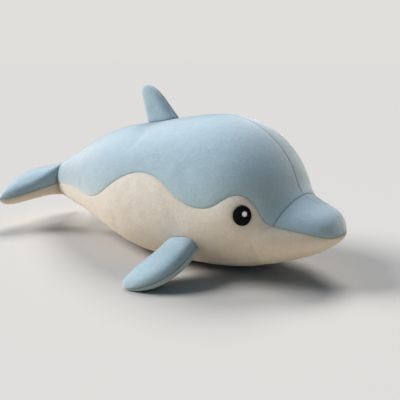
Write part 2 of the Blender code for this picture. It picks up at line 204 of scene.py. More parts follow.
def point_tree(points):
    tree = kdtree.KDTree(len(points))
    for i, point in enumerate(points):
        tree.insert(point, i)
    tree.balance()
    return tree


# ---- Seams ----
SINK_REACH = 0.009
# How far from a seam the painted crevice shade reaches.
CREVICE_SHADE_REACH = 0.0013
PUFF = 0.0003
SEAM_SLIT = 0.00008
# Besides the shape, each line paints shade into its crevice, the mouth's crease too: the third value is how
# dark that painted shade is.
SEWING = {
    "mouth": {"depth": 0.0005, "roll": 0.0016, "crevice_shade": 0.80},
    "back": {"depth": 0.0006, "roll": 0.0018, "crevice_shade": 0.75, "sink": 0.0005},
    "flank": {"depth": 0.0009, "roll": 0.0024, "crevice_shade": 0.60},
    "beak": {"depth": 0.0008, "roll": 0.0020, "crevice_shade": 0.95, "sink": 0.0007},
    "tail": {"depth": 0.0003, "roll": 0.0024, "crevice_shade": 0.10, "sink": 0.0003},
    "fin_edge": {"depth": 0.0006, "roll": 0.0016, "crevice_shade": 0.95, "sink": 0.0005},
    "fin_root": {"depth": 0.0007, "roll": 0.0020, "crevice_shade": 0.95, "sink": 0.0005},
    "fluke_rim": {"depth": 0.0006, "roll": 0.0018, "crevice_shade": 0.85, "sink": 0.0007},
}
MOUTH_SINK = 0.0006
# Rings against a value there.
BACK_STRENGTH = ((0.0, 0.5), (4.0, 0.6), (5.5, 1.0), (6.9, 1.0), (7.3, 0.25), (9.0, 0.30), (9.6, 0.9))
FLANK_STRENGTH = ((0.0, 0.6), (6.6, 0.6), (7.2, 1.0), (10.0, 1.0))
FLANK_SINK = ((0.0, 0.0008), (1.0, 0.0012), (2.0, 0.0022), (6.0, 0.0022), (7.0, 0.0010), (10.0, 0.0008))
# The leading edge of a fin shows its seam more than the trailing edge.
FIN_EDGE_STRENGTHS = (1.0, 0.35)
# Points along each seam line, close enough together for the distance to it.
BODY_POINTS, BROW_POINTS, TAIL_POINTS, MOUTH_POINTS = 1400, 400, 240, 120
FIN_EDGE_POINTS, FIN_ROOT_POINTS = 400, 300
FLUKE_SIDE_POINTS, FLUKE_REAR_POINTS, FLUKE_FOOT_POINTS = 500, 600, 300


class Seam:
    """A sewn line, its strength along its length, and what it does to the fabric beside it.

    The edges roll in by depth over the width roll, the stuffed form sinks more widely by sink,
    and the painted shade sets how dark the line is, shade painted into the seam's crevice.
    """

    def __init__(self, points, depth, roll, crevice_shade, sink, strength=None):
        self.points = points.reshape(-1, 3)
        self.depth, self.roll, self.crevice_shade = depth, roll, crevice_shade
        self.sink = np.broadcast_to(sink, len(self.points))
        self.strength = np.ones(len(self.points)) if strength is None else strength.ravel()
        self.tree = point_tree(self.points)

    def near(self, points):
        """Distance to the seam at points, with the strength and the sink that it has there."""
        found = [self.tree.find(point)[1:] for point in points.reshape(-1, 3)]
        gap = np.array([far for _, far in found]).reshape(points.shape[:-1])
        which = np.array([i for i, _ in found]).reshape(gap.shape)
        return gap, self.strength[which], self.sink[which]


def sewn(points, seams):
    """Depth of the valleys, extra depth of the rolled edges and painted shade in the seams' crevices, at
    points by seams.
    """
    valley, roll, crevice_shade = (np.zeros(points.shape[:-1]) for _ in range(3))
    for seam in seams:
        gap, strength, sink = seam.near(points)
        near = np.clip(1.0 - gap / seam.roll, 0.0, 1.0)
        roll = np.maximum(roll, strength * seam.depth * (1.0 - np.sqrt(1.0 - near ** 2)))
        valley = np.maximum(valley, sink * np.exp(-gap / SINK_REACH))
        crevice_shade = np.maximum(crevice_shade, strength * seam.crevice_shade * np.exp(-gap / CREVICE_SHADE_REACH))
    return valley, roll, crevice_shade


def sheets(base, normals, seams, extra=0.0):
    """Outer and inner sheet of a panel, and the shade painted along its seams."""
    valley, roll, crevice_shade = sewn(base, seams)
    outer = base + normals * (PUFF - valley - roll + extra)[..., None]
    inner = base - normals * (SKIN + valley)[..., None]
    return outer, inner, {"seam": crevice_shade}


# ---- Meshes ----
WELD = 1e-6
FORM_WELD = 2e-5


def grid_faces(rows, cols, start, flip):
    index = start + np.arange(rows * cols).reshape(rows, cols)
    quads = np.stack((index[:-1, :-1], index[:-1, 1:], index[1:, 1:], index[1:, :-1]), -1)
    quads = quads.reshape(-1, 4)
    return quads[:, ::-1] if flip else quads


def edge_faces(rows, cols):
    """The rim that joins an outer grid and an inner grid of the same size."""
    index = np.arange(rows * cols).reshape(rows, cols)
    rim = np.concatenate((index[0, :-1], index[:-1, -1], index[-1, :0:-1], index[:0:-1, 0]))
    ahead = np.roll(rim, -1)
    size = rows * cols
    return np.stack((rim, ahead, ahead + size, rim + size), -1)


def put_in_scene(name, data):
    item = bpy.data.objects.new(name, data)
    bpy.context.scene.collection.objects.link(item)
    return item


def make_mesh(name, points, faces, values, weld=WELD):
    """A closed mesh with its faces turned out and its point values as attributes."""
    data = bpy.data.meshes.new(name)
    data.from_pydata(points.tolist(), [], faces.tolist())
    for key, value in values.items():
        layer = data.attributes.new(key, "FLOAT", "POINT")
        layer.data.foreach_set("value", np.asarray(value, dtype=np.float32).ravel())
    mesh = bmesh.new()
    mesh.from_mesh(data)
    bmesh.ops.remove_doubles(mesh, verts=mesh.verts, dist=weld)
    bmesh.ops.dissolve_degenerate(mesh, edges=mesh.edges, dist=1e-7)
    bmesh.ops.recalc_face_normals(mesh, faces=mesh.faces)
    if mesh.calc_volume(signed=True) < 0.0:
        bmesh.ops.reverse_faces(mesh, faces=mesh.faces)
    mesh.to_mesh(data)
    mesh.free()
    data.shade_smooth()
    return data


def shell(name, outer, inner, values):
    rows, cols = outer.shape[:2]
    points = np.concatenate((outer.reshape(-1, 3), inner.reshape(-1, 3)))
    faces = np.concatenate((
        grid_faces(rows, cols, 0, False),
        grid_faces(rows, cols, rows * cols, True),
        edge_faces(rows, cols),
    ))
    both = {key: np.concatenate((value.ravel(), value.ravel())) for key, value in values.items()}
    return put_in_scene(name, make_mesh(name, points, faces, both))


def settle(item, node, material):
    """Puts a finished piece in the frame in place of its node."""
    item.data.materials.append(material)
    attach(item, "root")
    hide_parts(node)
    return item


# ---- Cloth ----
CLOTH_PRESSURE = 4.0
CLOTH_MASS = 0.1
CLOTH_SHRINK = -0.003
CLOTH_FRAMES = 20
CLOTH_CAP = 0.0022
CLOTH_SLACK = 0.0006
CLOTH_EASE = 0.008
PIN_REACH = 0.005
BLEND_POINTS = 12
BLEND_STEPS = 1.1
BODY_STEP, FIN_STEP, FLUKE_STEP = 0.005, 0.003, 0.004


def closed_form(name, grids, weld=FORM_WELD):
    """One closed mesh from grids that share their borders, with its open ends filled."""
    points = np.concatenate([grid.reshape(-1, 3) for grid in grids])
    faces, start = [], 0
    for grid in grids:
        faces.append(grid_faces(grid.shape[0], grid.shape[1], start, False))
        start += grid.shape[0] * grid.shape[1]
    data = make_mesh(name, points, np.concatenate(faces), {}, weld)
    mesh = bmesh.new()
    mesh.from_mesh(data)
    bmesh.ops.holes_fill(mesh, edges=[edge for edge in mesh.edges if edge.is_boundary])
    bmesh.ops.recalc_face_normals(mesh, faces=mesh.faces)
    mesh.to_mesh(data)
    mesh.free()
    return data


def mesh_tree(data):
    return BVHTree.FromPolygons([v.co for v in data.vertices], [list(f.vertices) for f in data.polygons])


def evaluated_copy(item):
    return bpy.data.meshes.new_from_object(item.evaluated_get(bpy.context.evaluated_depsgraph_get()))


def places(data):
    flat = np.empty(len(data.vertices) * 3, dtype=np.float32)
    data.vertices.foreach_get("co", flat)
    return flat.reshape(-1, 3).astype(float)


class Swell:
    """What the stuffing's pressure does to a form that its seams hold, by cloth simulation.

    The fabric starts a little smaller than the form and swells out to it, held at the seams and
    where it lies on the floor. The simulated mesh has even steps of the size given.
    """

    def __init__(self, name, grids, seams, step):
        form = closed_form(name, grids)
        tree = mesh_tree(form)
        item = self.even(put_in_scene(name, form), step)
        found = [tree.find_nearest(v.co)[:2] for v in item.data.vertices]
        start = np.array([spot for spot, _ in found])
        outward = np.array([normal for _, normal in found])
        gap = np.min([seam.near(start)[0] for seam in seams], axis=0)
        away = 1.0 - np.exp(-gap / CLOTH_EASE)
        smaller = start - outward * (CLOTH_SLACK * away)[:, None]
        item.data.vertices.foreach_set("co", smaller.astype(np.float32).ravel())
        hold = np.exp(-(gap / PIN_REACH) ** 2)
        hold[start[:, 2] < SKIN] = 1.0
        self.run(item, hold)
        moved = places(evaluated_copy(item)) - start
        length = np.linalg.norm(moved, axis=1, keepdims=True)
        self.moved = moved * np.minimum(1.0, CLOTH_CAP / np.maximum(length, 1e-9))
        self.reach = step * BLEND_STEPS
        self.tree = point_tree(start)
        bpy.data.objects.remove(item)

    @staticmethod
    def even(item, step):
        remesh = item.modifiers.new("even", "REMESH")
        remesh.mode = "VOXEL"
        remesh.voxel_size = step
        data = evaluated_copy(item)
        item.modifiers.remove(remesh)
        item.data = data
        return item

    @staticmethod
    def run(item, hold):
        group = item.vertex_groups.new(name="seams")
        for i, weight in enumerate(hold):
            group.add([i], float(weight), "REPLACE")
        cloth = item.modifiers.new("cloth", "CLOTH")
        settings = cloth.settings
        settings.use_pressure = True
        settings.uniform_pressure_force = CLOTH_PRESSURE
        settings.mass = CLOTH_MASS
        settings.vertex_group_mass = group.name
        settings.shrink_min = CLOTH_SHRINK
        settings.effector_weights.gravity = 0.0
        cloth.collision_settings.use_collision = False
        cloth.point_cache.frame_end = CLOTH_FRAMES
        for frame_now in range(1, CLOTH_FRAMES + 1):
            bpy.context.scene.frame_set(frame_now)

    def at(self, points):
        """The move at any points of the form, blended smoothly from the simulated ones."""
        flat = points.reshape(-1, 3)
        moves = np.zeros_like(flat)
        for i, point in enumerate(flat):
            near = self.tree.find_n(point, BLEND_POINTS)
            which = [index for _, index, _ in near]
            away = np.array([far for _, _, far in near])
            weight = np.exp(-(away / self.reach) ** 2) + 1e-12
            moves[i] = weight @ self.moved[which] / weight.sum()
        return moves.reshape(points.shape)


# ---- Body ----
BODY_CENTRE = (SHIFT + 0.19, 0.0, 0.07)
BACK_ROWS, BACK_COLUMNS = 230, 100
BEAK_ROWS, BEAK_COLUMNS = 60, 60
BELLY_COLUMNS, BELLY_TIGHT = 170, 0.6
FORM_ROWS, FORM_COLUMNS = 120, 121


def along_rings(rings, table):
    return np.interp(rings, *zip(*table))


def seam_lines():
    """Every seam and crease of the body, the two at the mouth first."""
    rings = rings_between(0.0, TIP_RING, BODY_POINTS)
    angle = SEAM_ANGLE(rings)[..., 0]
    beak = np.linspace(-1.0, 1.0, BROW_POINTS) * float(SEAM_ANGLE(BEAK_RING)[0])
    turn = np.linspace(0.0, 2.0 * math.pi, TAIL_POINTS)
    knots = np.linspace(0.0, 1.0, len(SMILE))
    smile = spline(knots, SMILE)(np.linspace(0.0, 1.0, MOUTH_POINTS))
    fading = np.linspace(1.0, 0.0, MOUTH_POINTS)
    sides = (1.0, -1.0)
    sunk, strength = along_rings(rings, FLANK_SINK), along_rings(rings, FLANK_STRENGTH)
    mouth = [Seam(body_surface(smile[:, 0], side * np.radians(smile[:, 1])), **SEWING["mouth"],
                  sink=MOUTH_SINK * fading, strength=fading) for side in sides]
    middle = Seam(body_surface(rings, 0.0 * rings), **SEWING["back"],
                  strength=along_rings(rings, BACK_STRENGTH))
    flanks = [Seam(body_surface(rings, side * angle), **SEWING["flank"], sink=sunk, strength=strength)
              for side in sides]
    brow = Seam(body_surface(np.full_like(beak, BEAK_RING), beak), **SEWING["beak"])
    tail = Seam(body_surface(np.zeros_like(turn), turn), **SEWING["tail"])
    return mouth + [middle] + flanks + [brow, tail]


SEAMS = seam_lines()


EYE_PROBE = 0.01


def eye_frame(side):
    """Centre of an eye on the body, with the directions forward, up and out."""
    angle = side * math.radians(EYE_ANGLE)
    centre = ring_point(EYE_RING, angle)
    ahead = ring_point(EYE_RING + EYE_PROBE, angle)
    down = ring_point(EYE_RING, angle + side * EYE_PROBE)
    out = unit(np.cross(ahead - centre, down - centre))
    out = out if out[1] * side > 0.0 else -out
    forward = np.array((1.0, 0.0, 0.0))
    forward = unit(forward - out * forward.dot(out))
    up = np.cross(out, forward)
    up = up if up[2] > 0.0 else -up
    return centre, forward, up, out


EYES = {"left": eye_frame(1.0), "right": eye_frame(-1.0)}
SOCKET_DEPTH = 0.0009
SOCKET_EDGE, SOCKET_SOFTNESS = 1.12, 0.09
SOCKET_REACH = 0.01


def eye_socket(points):
    """The fabric is drawn in under each eye and just round it."""
    sunk = np.zeros(points.shape[:-1])
    for centre, forward, up, out in EYES.values():
        away = points - centre
        across = away @ forward / (EYE_WIDTH / 2.0)
        rise = away @ up / (EYE_HEIGHT / 2.0)
        reach = np.sqrt(across ** 2 + rise ** 2 + (away @ out / SOCKET_REACH) ** 2)
        sunk -= SOCKET_DEPTH / (1.0 + np.exp((reach - SOCKET_EDGE) / SOCKET_SOFTNESS))
    return sunk


def body_skin(rings, angles, swell):
    """Outer and inner grid of one panel of the body."""
    base = body_surface(rings[:, None], angles)
    base = base + swell.at(base)
    normals = grid_normals(base, BODY_CENTRE)
    outer, inner, values = sheets(base, normals, SEAMS, eye_socket(base))
    for sheet in (outer, inner):
        for end, beside in ((0, 1), (-1, -2)):
            way = unit(sheet[:, beside] - sheet[:, end])
            sheet[:, end] += way * SEAM_SLIT
        sheet[..., 2] = np.maximum(sheet[..., 2], 0.0)
    inner[..., 2] = np.maximum(inner[..., 2], SKIN)
    return outer, inner, values


def make_body(blue, cream):
    """The five body panels. Gives the fabric's surface, without its slits, for what sits on it."""
    coarse = rings_between(0.0, TIP_RING, FORM_ROWS)[:, None]
    form = body_surface(coarse, np.linspace(0.0, 2.0 * math.pi, FORM_COLUMNS)[None, :])
    swell = Swell("body_form", [form], SEAMS, BODY_STEP)
    back_rings = rings_between(0.0, BEAK_RING, BACK_ROWS)
    beak_rings = rings_between(BEAK_RING, TIP_RING, BEAK_ROWS)
    parts = (("back", back_rings, BACK_COLUMNS), ("beak", beak_rings, BEAK_COLUMNS))
    fabric = []
    for side, word in ((1.0, "left"), (-1.0, "right")):
        for part, rings, columns in parts:
            angles = side * SEAM_ANGLE(rings) * eased(columns)[None, :]
            outer, inner, values = body_skin(rings, angles, swell)
            item = shell(part + "_" + word + "_plush", outer, inner, values)
            settle(item, part + "_panel_" + word, blue)
            fabric.append(outer)
    rings = np.concatenate((back_rings, beak_rings[1:]))
    seam = SEAM_ANGLE(rings)
    angles = seam + (2.0 * math.pi - 2.0 * seam) * eased(BELLY_COLUMNS, BELLY_TIGHT)[None, :]
    outer, inner, values = body_skin(rings, angles, swell)
    settle(shell("belly_plush", outer, inner, values), "belly_panel", cream)
    return mesh_tree(closed_form("fabric", fabric + [outer], 4.0 * SEAM_SLIT))


# ---- Fins ----
FIN_FULLNESS = 0.6
ROOT_GAP = 0.0001
FIN_ROWS, FIN_COLUMNS, FIN_TIGHT = 90, 64, 0.5
FIN_FORM_ROWS, FIN_FORM_COLUMNS = 40, 61
FIN_SOFTNESS = 0.0004
FIN_INSIDE = 0.02
DORSAL_FIN_RING = 2.93
DORSAL_FIN = {"length": 0.0380, "sweep": 0.0215, "chords": (0.0400, 0.0235),
              "thicknesses": (0.0200, 0.0120), "bend": 1.0, "blunt": 6}
FLIPPER_RING, FLIPPER_ANGLE = 3.96, 124.0
FLIPPER_SLOPE, FLIPPER_ROLL = 23.5, 12.0
FLIPPER = {"length": 0.0670, "sweep": 0.0215, "chords": (0.0365, 0.0560),
           "thicknesses": (0.0240, 0.0240), "bend": 2.5, "blunt": 4}


class Fin:
    """A stuffed fin on the body: chord and thickness along an axis, its root on the fabric."""

    def __init__(self, tree, origin, along, across, length, sweep, chords, thicknesses, bend, blunt):
        self.tree = tree
        self.origin = np.array(origin)
        self.along = np.array(along)
        self.across = np.array(across)
        self.up = unit(np.cross(self.along, self.across))
        self.length, self.sweep, self.chords, self.thicknesses = length, sweep, chords, thicknesses
        self.bend, self.blunt = bend, blunt

    def straight(self, share, angle, depth):
        share, angle = np.broadcast_arrays(share, angle)
        fade = np.sqrt(np.maximum(1.0 - share ** self.blunt, 0.0))
        chord = self.chords[0] + (self.chords[1] - self.chords[0]) * share
        thickness = self.thicknesses[0] + (self.thicknesses[1] - self.thicknesses[0]) * share
        forward = (chord / 2.0 - depth) * fade * np.cos(angle) - self.sweep * share ** self.bend
        rise = (thickness / 2.0 - depth) * fade * np.sin(angle)
        rise = rise * np.sqrt(1.0 + FIN_FULLNESS * np.cos(angle) ** 2)
        reach = (self.length - depth) * share
        return (self.origin + self.along * reach[..., None] + self.across * forward[..., None]
                + self.up * rise[..., None])

    def surface(self, share, angles, depth):
        """Grid of the fin, with its root drawn on to the body and its underside off the floor."""
        base = self.straight(share[:, None], angles[None, :], depth)
        foot = self.straight(np.zeros_like(angles), angles, depth)
        way = Vector(-self.along)
        drawn = []
        for point in foot:
            start = Vector(point + self.along * self.length)
            hit, normal = self.tree.ray_cast(start, way)[0:2]
            lift = ROOT_GAP / max(abs(normal.dot(way)), 0.3)
            drawn.append(np.array(hit - way * lift) - point)
        grid = base + np.array(drawn)[None, :, :] * ((1.0 - share) ** 2)[:, None, None]
        grid[..., 2] = on_floor(grid[..., 2] - depth, FIN_SOFTNESS) + depth
        return grid


def rounded_shares(count):
    """Shares from 0 to 1 that crowd at the tip."""
    return np.sin(math.pi / 2.0 * np.linspace(0.0, 1.0, count))


def fin_seams(fin):
    edges = fin.surface(rounded_shares(FIN_EDGE_POINTS), np.array([0.0, math.pi]), 0.0)
    root = fin.surface(np.array([0.0]), np.linspace(0.0, 2.0 * math.pi, FIN_ROOT_POINTS), 0.0)
    strength = np.broadcast_to(FIN_EDGE_STRENGTHS, edges.shape[:2])
    return [Seam(edges, **SEWING["fin_edge"], strength=strength), Seam(root, **SEWING["fin_root"])]


def fin_panel(fin, start, seams, swell):
    """Outer and inner grid of the half of a fin that starts at an angle, with its seam values."""
    share = rounded_shares(FIN_ROWS)
    angles = start + math.pi * eased(FIN_COLUMNS, FIN_TIGHT)
    side = fin.up * (1.0 if start == 0.0 else -1.0)
    base = fin.surface(share, angles, 0.0)
    base = base + swell.at(base)
    normals = grid_normals(base, base.reshape(-1, 3).mean(axis=0) - side * FIN_INSIDE)
    outer, _, values = sheets(base, normals, seams)
    inner = fin.surface(share, angles, SKIN)
    lift = side * SEAM_SLIT
    for sheet in (outer, inner):
        sheet[:, 0] += lift
        sheet[:, -1] += lift
        sheet[-1] = sheet[-1].mean(axis=0) + lift
        sheet[..., 2] = np.maximum(sheet[..., 2], 0.0)
    return outer, inner, values


def make_fin(fin, pieces, blue):
    seams = fin_seams(fin)
    turns = np.linspace(0.0, 2.0 * math.pi, FIN_FORM_COLUMNS)
    form = fin.surface(rounded_shares(FIN_FORM_ROWS), turns, 0.0)
    swell = Swell(pieces[0][1] + "_form", [form], seams, FIN_STEP)
    for start, (name, node) in zip((0.0, math.pi), pieces):
        item = shell(name, *fin_panel(fin, start, seams, swell))
        settle(item, node, blue)


def make_fins(tree, blue):
    origin = ring_point(DORSAL_FIN_RING, 0.0)
    fin = Fin(tree, origin, (0.0, 0.0, 1.0), (1.0, 0.0, 0.0), **DORSAL_FIN)
    make_fin(fin, [("dorsal_fin_" + word + "_plush", "dorsal_fin_panel_" + word)
                     for word in ("left", "right")], blue)
    slope, roll = math.radians(FLIPPER_SLOPE), math.radians(FLIPPER_ROLL)
    for word, side in (("left", 1.0), ("right", -1.0)):
        origin = ring_point(FLIPPER_RING, side * math.radians(FLIPPER_ANGLE))
        along = (0.0, side * math.cos(slope), -math.sin(slope))
        top = (0.0, side * math.sin(slope), math.cos(slope))
        across = (math.cos(roll), top[1] * math.sin(roll), top[2] * math.sin(roll))
        fin = Fin(tree, origin, along, across, **FLIPPER)
        pieces = [("flipper_" + face + "_" + word + "_plush", "flipper_" + face + "_panel_" + word)
                  for face in ("upper", "lower")]
        make_fin(fin, pieces if fin.up[2] > 0.0 else pieces[::-1], blue)


# ---- Tail fluke ----
FLUKE_HALF_SPAN = 0.0720
FLUKE_TIP_BACK = 0.0420
FLUKE_NOTCH_BACK = 0.0460
FLUKE_TRAILING_BULGE = 0.0080
FLUKE_LOBE_THICKNESS = 0.0340
FLUKE_DROOP, FLUKE_DROOP_CURVE = 0.0160, 1.5
FLUKE_EDGE_BACK_CURVE = 1.3
FLUKE_EDGE_OUT_CURVE = 1.7
FLUKE_BLUNTNESS = 7
# The rim is rounder at the tips than at the root.
FLUKE_RIM_CURVE, FLUKE_RIM_EASE = 0.90, 0.25
FLUKE_ROOT_BLEND = 4
FLUKE_INSIDE = 0.03
FLUKE_ROWS, FLUKE_COLUMNS, FLUKE_TIGHT = 110, 180, 0.3
FLUKE_FORM_ROWS, FLUKE_FORM_COLUMNS = 40, 81
TAIL_GAP = 0.0001


def tail_ring(angle, depth):
    """The ring where the body ends, at a depth in the fabric."""
    back, belly = OUTLINE(np.array(0.0)), OUTLINE(np.array(2.0 * TIP_RING))
    half = (back - belly) / 2.0
    reach = half * (1.0 - depth / np.linalg.norm(half))
    xz = (back + belly) / 2.0 + reach * np.cos(angle)[..., None]
    y = (float(WIDTH(np.array(0.0))[0]) - depth) * np.sin(angle)
    return np.stack((xz[..., 0] - TAIL_GAP, y, xz[..., 1]), -1)


def fluke_surface(share, turn, upper, depth):
    """One face of the fluke: share goes from the tail seam to the rear edge, turn from side to side."""
    share, turn = np.broadcast_arrays(share, turn)
    across = np.sin(turn)
    reach = np.abs(across)
    corner = float(SEAM_ANGLE(np.array(0.0))[0])
    seam, top, low = tail_ring(np.array([corner, 0.0, math.pi]), depth)
    tip = (-FLUKE_TIP_BACK + depth, FLUKE_HALF_SPAN - depth)
    edge_x = seam[0] + (tip[0] - seam[0]) * share ** FLUKE_EDGE_BACK_CURVE
    edge_y = seam[1] + (tip[1] - seam[1]) * (1.0 - (1.0 - share) ** FLUKE_EDGE_OUT_CURVE)
    middle_x = seam[0] + (depth - FLUKE_NOTCH_BACK) * share
    bulge = FLUKE_TRAILING_BULGE * share * np.sin(math.pi * reach)
    x = middle_x * (1.0 - reach ** 2) + edge_x * reach ** 2 - bulge
    y = across * edge_y
    root = top[2] - seam[2] if upper else seam[2] - low[2]
    lobe = FLUKE_LOBE_THICKNESS / 2.0 - depth
    height = lobe + (root - lobe) * (1.0 - share) ** 2
    height = height * np.sqrt(np.maximum(1.0 - share ** FLUKE_BLUNTNESS, 0.0))
    rim = np.maximum(np.cos(turn), 0.0) ** (FLUKE_RIM_CURVE - FLUKE_RIM_EASE * share)
    height = height * rim * np.sqrt(1.0 + share * across ** 2)
    sign = 1.0 if upper else -1.0
    droop = FLUKE_DROOP * (np.abs(y) / FLUKE_HALF_SPAN) ** FLUKE_DROOP_CURVE
    point = np.stack((x, y, seam[2] - droop + sign * height), -1)
    angle = turn / (math.pi / 2.0) * corner
    if not upper:
        angle = np.copysign(math.pi - (math.pi - corner) * np.abs(turn) / (math.pi / 2.0), turn)
    flat = np.stack((seam[0] + 0.0 * x, seam[1] * across, seam[2] + sign * root * np.cos(turn)), -1)
    placed = point + (tail_ring(angle, depth) - flat) * ((1.0 - share) ** FLUKE_ROOT_BLEND)[..., None]
    placed[..., 0] += SHIFT
    return placed


def fluke_seams():
    ends = np.array([-0.5, 0.5])[None, :] * math.pi
    sides = fluke_surface(rounded_shares(FLUKE_SIDE_POINTS)[:, None], ends, True, 0.0)
    turns = np.linspace(-0.5, 0.5, FLUKE_REAR_POINTS) * math.pi
    rear = fluke_surface(np.ones_like(turns), turns, True, 0.0)
    rim = np.concatenate((sides.reshape(-1, 3), rear))
    turns = np.linspace(-0.5, 0.5, FLUKE_FOOT_POINTS) * math.pi
    foot = [fluke_surface(np.zeros_like(turns), turns, upper, 0.0) for upper in (True, False)]
    return [Seam(rim, **SEWING["fluke_rim"]), Seam(np.concatenate(foot), **SEWING["tail"])]


def make_fluke(blue, cream):
    share = rounded_shares(FLUKE_ROWS)[:, None]
    turns = (math.pi * (eased(FLUKE_COLUMNS, FLUKE_TIGHT) - 0.5))[None, :]
    seams = fluke_seams()
    rows = rounded_shares(FLUKE_FORM_ROWS)[:, None]
    columns = (np.linspace(-0.5, 0.5, FLUKE_FORM_COLUMNS) * math.pi)[None, :]
    form = [fluke_surface(rows, columns, upper, 0.0) for upper in (True, False)]
    swell = Swell("fluke_form", form, seams, FLUKE_STEP)
    faces = (("upper", 1.0, blue, "blue_plush"), ("lower", -1.0, cream, "cream_plush"))
    for word, side, material, slot in faces:
        base = fluke_surface(share, turns, side > 0.0, 0.0)
        base = base + swell.at(base)
        centre = base.reshape(-1, 3).mean(axis=0) - (0.0, 0.0, side * FLUKE_INSIDE)
        outer, _, values = sheets(base, grid_normals(base, centre), seams)
        inner = fluke_surface(share, turns, side > 0.0, SKIN)
        lift = np.array((0.0, 0.0, side * SEAM_SLIT))
        for sheet in (outer, inner):
            sheet[:, 0] += lift
            sheet[:, -1] += lift
            sheet[-1, 1:-1] += lift
        item = shell("fluke_" + word + "_plush", outer, inner, values)
        settle(item, "fluke_panel_" + word, material)


# ---- Eyes ----
EYE_UNDERSIDE = [(share, 0.0002) for share in (0.0, 0.5, 0.9, 0.985)]
EYE_EDGE = [(1.0, 0.0005)]
EYE_DOME = [(math.sin(a), 0.0009 + 0.0016 * math.cos(a) ** 0.8)
            for a in np.radians((90.0, 84.0, 76.0, 66.0, 54.0, 42.0, 30.0, 18.0, 8.0, 0.0))]
EYE_TURNS = 72
RAY_START = 0.02
GLINT_THREADS, GLINT_THREAD_RADIUS = 13, 0.00024


def laid_on(tree, place, x, y):
    """The point of a surface under a place of the eye's own plane."""
    centre, forward, up, out = place
    start = Vector(centre + forward * x + up * y + out * RAY_START)
    return tree.ray_cast(start, Vector(-out))[0]


def eye_rows(tree, place):
    """Rings of the eye's pad on the fabric, each a share of its size and a height."""
    rows = []
    for share, height in EYE_UNDERSIDE + EYE_EDGE + EYE_DOME:
        row = []
        for turn in np.linspace(0.0, 2.0 * math.pi, EYE_TURNS, endpoint=False):
            x = share * EYE_WIDTH / 2.0 * math.cos(turn)
            y = share * EYE_HEIGHT / 2.0 * math.sin(turn)
            row.append(np.array(laid_on(tree, place, x, y)) + place[3] * height)
        rows.append(row)
    return np.array(rows)


def ring_mesh(name, rows):
    count, turns = rows.shape[:2]
    index = np.arange(count * turns).reshape(count, turns)
    ahead = np.roll(index, -1, axis=1)
    faces = np.stack((index[:-1], ahead[:-1], ahead[1:], index[1:]), -1).reshape(-1, 4)
    return put_in_scene(name, make_mesh(name, rows.reshape(-1, 3), faces, {}))


def satin_group():
    """Satin stitch: threads side by side across an oval, each as long as the oval is there."""
    tree = bpy.data.node_groups.new("satin_stitch", "GeometryNodeTree")
    for name, kind, value in (
        ("Threads", "NodeSocketInt", 13),
        ("Width", "NodeSocketFloat", 0.004),
        ("Height", "NodeSocketFloat", 0.005),
        ("Thread Radius", "NodeSocketFloat", 0.0003),
    ):
        socket = tree.interface.new_socket(name=name, in_out="INPUT", socket_type=kind)
        socket.default_value = value
    tree.interface.new_socket(name="Thread Material", in_out="INPUT", socket_type="NodeSocketMaterial")
    tree.interface.new_socket(name="Geometry", in_out="OUTPUT", socket_type="NodeSocketGeometry")
    given = add(tree, "NodeGroupInput").outputs
    step = maths(tree, "DIVIDE", given["Width"], maths(tree, "ADD", given["Threads"], 1.0))
    ends = add(tree, "ShaderNodeCombineXYZ")
    first = maths(tree, "SUBTRACT", step, maths(tree, "MULTIPLY", given["Width"], 0.5))
    tree.links.new(first, ends.inputs["X"])
    offset = add(tree, "ShaderNodeCombineXYZ")
    tree.links.new(step, offset.inputs["X"])
    line = add(tree, "GeometryNodeMeshLine", mode="OFFSET")
    tree.links.new(given["Threads"], line.inputs["Count"])
    tree.links.new(ends.outputs[0], line.inputs["Start Location"])
    tree.links.new(offset.outputs[0], line.inputs["Offset"])

    place = add(tree, "ShaderNodeSeparateXYZ")
    tree.links.new(add(tree, "GeometryNodeInputPosition").outputs[0], place.inputs[0])
    share = maths(tree, "DIVIDE", maths(tree, "MULTIPLY", place.outputs["X"], 2.0), given["Width"])
    left = maths(tree, "SUBTRACT", 1.0, maths(tree, "MULTIPLY", share, share))
    half = maths(tree, "MULTIPLY", maths(tree, "SQRT", left), maths(tree, "MULTIPLY", given["Height"], 0.5))
    size = add(tree, "ShaderNodeCombineXYZ")
    tree.links.new(given["Thread Radius"], size.inputs["X"])
    tree.links.new(half, size.inputs["Y"])
    tree.links.new(given["Thread Radius"], size.inputs["Z"])
    spindle = add(tree, "GeometryNodeMeshUVSphere")
    put(spindle, Segments=10, Rings=16, Radius=1.0)
    turned = add(tree, "GeometryNodeTransform")
    put(turned, Rotation=(math.pi / 2.0, 0.0, 0.0))
    tree.links.new(spindle.outputs["Mesh"], turned.inputs["Geometry"])
    threads = add(tree, "GeometryNodeInstanceOnPoints")
    tree.links.new(line.outputs["Mesh"], threads.inputs["Points"])
    tree.links.new(turned.outputs["Geometry"], threads.inputs["Instance"])
    tree.links.new(size.outputs[0], threads.inputs["Scale"])
    real = add(tree, "GeometryNodeRealizeInstances")
    tree.links.new(threads.outputs["Instances"], real.inputs["Geometry"])
    dressed = add(tree, "GeometryNodeSetMaterial")
    tree.links.new(real.outputs["Geometry"], dressed.inputs["Geometry"])
    tree.links.new(given["Thread Material"], dressed.inputs["Material"])
    tree.links.new(dressed.outputs["Geometry"], add(tree, "NodeGroupOutput").inputs["Geometry"])
    return tree


def satin_mesh(name, group, size, material):
    """The stitches of one oval as a mesh in its own plane."""
    item = put_in_scene(name, bpy.data.meshes.new(name))
    nodes = item.modifiers.new("stitches", "NODES")
    nodes.node_group = group
    chosen = {"Threads": GLINT_THREADS, "Width": size[0], "Height": size[1],
              "Thread Radius": GLINT_THREAD_RADIUS, "Thread Material": material}
    for socket in group.interface.items_tree:
        if socket.in_out == "INPUT":
            nodes[socket.identifier] = chosen[socket.name]
    baked = evaluated_copy(item)
    item.modifiers.remove(nodes)
    bpy.data.objects.remove(item)
    return baked


